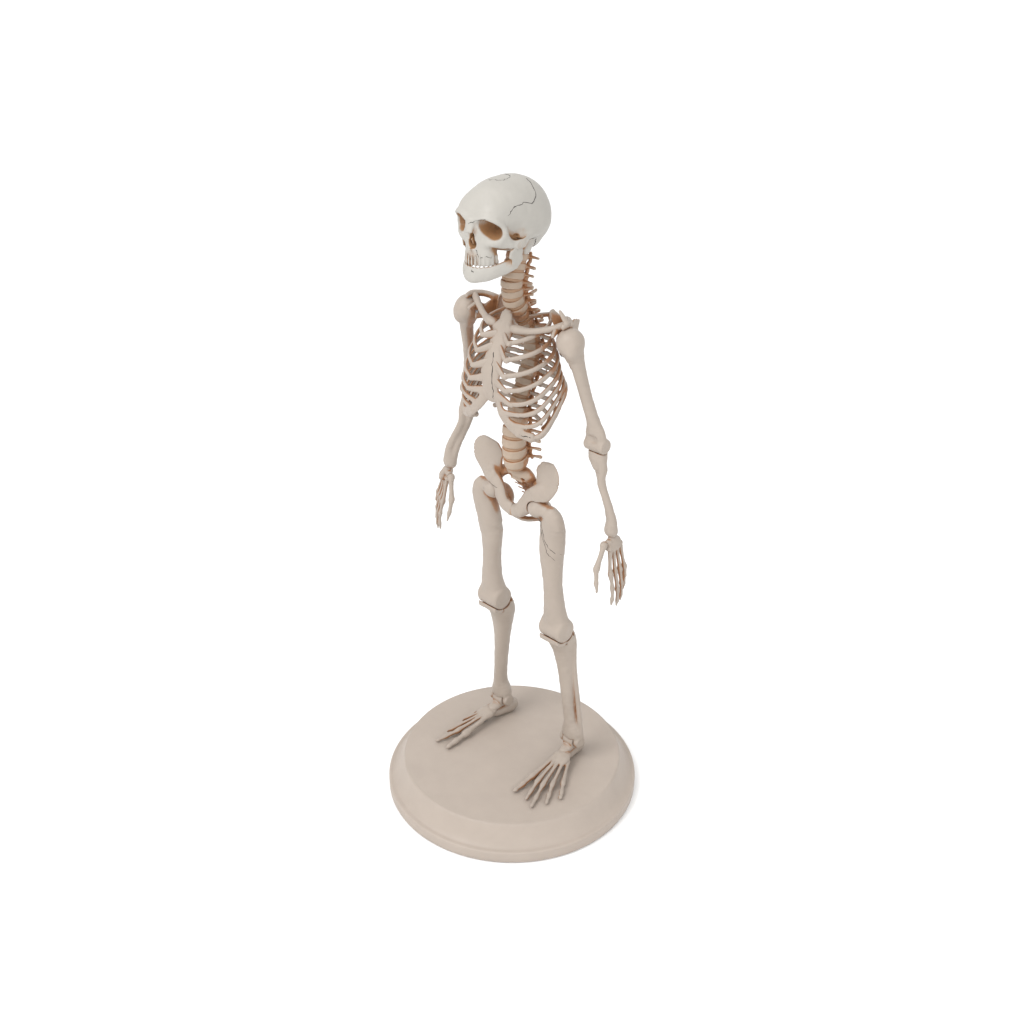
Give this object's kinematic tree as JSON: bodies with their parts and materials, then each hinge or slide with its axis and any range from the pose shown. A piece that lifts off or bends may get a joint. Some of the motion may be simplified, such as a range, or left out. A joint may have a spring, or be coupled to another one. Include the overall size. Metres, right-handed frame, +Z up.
{
  "type": "human skeleton model",
  "caption": "Small desk model of the human skeleton that stands on its feet on a round stepped base, with a turning skull, opening jaw, swinging arms, turning hands and bending legs.",
  "frame": {"origin": "centre of the base's underside, on the surface it stands on", "axes": "+Z up; the figure faces -Y and its left side is at +X"},
  "size_m": [0.1828, 0.1828, 0.4501],
  "materials": {
    "bone_plastic": "matte moulded, beige, with warm brown in the recesses",
    "skull_plastic": "smooth satin moulded, pale grey-white",
    "disc_plastic": "matte moulded, warm brown",
    "stand_plastic": "matte moulded, beige",
    "pad_rubber": "matte black",
    "steel": "plain zinc-plated"
  },
  "bodies": {
    "base": {"base_shell": "stand_plastic", "base_plate": "stand_plastic", "base_pads": "pad_rubber", "base_screws": "steel", "foot_screws": "steel", "ankle_bone_left": "bone_plastic", "ankle_bone_right": "bone_plastic", "ankle_pin_left": "steel", "ankle_pin_right": "steel", "heel_left": "bone_plastic", "heel_right": "bone_plastic", "toes_left": "bone_plastic", "toes_right": "bone_plastic"},
    "shin_left": {"tibia_left": "bone_plastic", "knee_pad_left": "bone_plastic"},
    "thigh_left": {"femur_left": "bone_plastic", "knee_pin_left": "steel"},
    "torso": {"hip_bone_left": "bone_plastic", "hip_bone_right": "bone_plastic", "pubic_disc": "disc_plastic", "hip_pins": "steel", "sacrum": "bone_plastic", "spine_rod": "steel", "cervical_vertebrae": "bone_plastic", "thoracic_vertebrae": "bone_plastic", "lumbar_vertebrae": "bone_plastic", "spine_discs": "disc_plastic", "sternum": "bone_plastic", "ribs_left": "bone_plastic", "ribs_right": "bone_plastic", "cartilage_left": "bone_plastic", "cartilage_right": "bone_plastic", "clavicle_left": "bone_plastic", "clavicle_right": "bone_plastic", "scapula_left": "bone_plastic", "scapula_right": "bone_plastic", "shoulder_pins": "steel"},
    "thigh_right": {"femur_right": "bone_plastic", "knee_pin_right": "steel"},
    "shin_right": {"tibia_right": "bone_plastic", "knee_pad_right": "bone_plastic"},
    "head": {"skull": "skull_plastic", "jaw_pins": "steel"},
    "jaw": {"jaw": "skull_plastic"},
    "upper_arm_left": {"humerus_left": "bone_plastic", "elbow_pin_left": "steel"},
    "forearm_left": {"forearm_left": "bone_plastic", "wrist_peg_left": "steel"},
    "hand_left": {"carpals_left": "bone_plastic", "fingers_left": "bone_plastic", "thumb_left": "bone_plastic"},
    "upper_arm_right": {"humerus_right": "bone_plastic", "elbow_pin_right": "steel"},
    "forearm_right": {"forearm_right": "bone_plastic", "wrist_peg_right": "steel"},
    "hand_right": {"carpals_right": "bone_plastic", "fingers_right": "bone_plastic", "thumb_right": "bone_plastic"}
  },
  "joints": [
    {"name": "ankle_left_bend", "type": "hinge", "parent": "base", "child": "shin_left", "pos_m": [0.036, 0.026, 0.041], "axis": [1, 0, 0], "range_deg": [0, 20]},
    {"name": "knee_left_bend", "type": "hinge", "parent": "shin_left", "child": "thigh_left", "pos_m": [0.03, 0.0128, 0.142], "axis": [1, 0, 0], "range_deg": [-40, 0]},
    {"name": "hip_left_bend", "type": "hinge", "parent": "thigh_left", "child": "torso", "pos_m": [0.0204, 0.0031, 0.2355], "axis": [1, 0, 0], "range_deg": [0, 20]},
    {"name": "hip_right_bend", "type": "hinge", "parent": "torso", "child": "thigh_right", "pos_m": [-0.0204, 0.0031, 0.2355], "axis": [1, 0, 0], "range_deg": [-20, 0]},
    {"name": "knee_right_bend", "type": "hinge", "parent": "thigh_right", "child": "shin_right", "pos_m": [-0.03, 0.0128, 0.142], "axis": [1, 0, 0], "range_deg": [0, 40]},
    {"name": "skull_turn", "type": "hinge", "parent": "torso", "child": "head", "pos_m": [0, 0.005, 0.404], "axis": [0, 0, 1], "range_deg": [-70, 70]},
    {"name": "jaw_open", "type": "hinge", "parent": "head", "child": "jaw", "pos_m": [0, -0.0155, 0.416], "axis": [1, 0, 0], "range_deg": [0, 20]},
    {"name": "shoulder_left_swing", "type": "hinge", "parent": "torso", "child": "upper_arm_left", "pos_m": [0.0459, 0.0041, 0.3564], "axis": [-1, 0, 0], "range_deg": [-35, 140]},
    {"name": "elbow_left_bend", "type": "hinge", "parent": "upper_arm_left", "child": "forearm_left", "pos_m": [0.058, 0.01617, 0.28999], "axis": [-1, 0, 0], "range_deg": [-8, 92]},
    {"name": "wrist_left_turn", "type": "hinge", "parent": "forearm_left", "child": "hand_left", "pos_m": [0.071, 0.01756, 0.2285], "axis": [0.2068, 0.0222, -0.9781], "range_deg": [-20, 90]},
    {"name": "shoulder_right_swing", "type": "hinge", "parent": "torso", "child": "upper_arm_right", "pos_m": [-0.0459, 0.0041, 0.3564], "axis": [-1, 0, 0], "range_deg": [-31, 144]},
    {"name": "elbow_right_bend", "type": "hinge", "parent": "upper_arm_right", "child": "forearm_right", "pos_m": [-0.058, 0.02077, 0.29099], "axis": [-1, 0, 0], "range_deg": [-23, 77]},
    {"name": "wrist_right_turn", "type": "hinge", "parent": "forearm_right", "child": "hand_right", "pos_m": [-0.071, 0.00988, 0.23046], "axis": [0.2068, 0.1733, 0.9629], "range_deg": [-82, 28]}
  ],
  "couplings": [
    {"joint": "knee_left_bend", "follows": "ankle_left_bend", "ratio": -2},
    {"joint": "hip_left_bend", "follows": "ankle_left_bend", "ratio": 1},
    {"joint": "hip_right_bend", "follows": "ankle_left_bend", "ratio": -1},
    {"joint": "knee_right_bend", "follows": "ankle_left_bend", "ratio": 2}
  ]
}
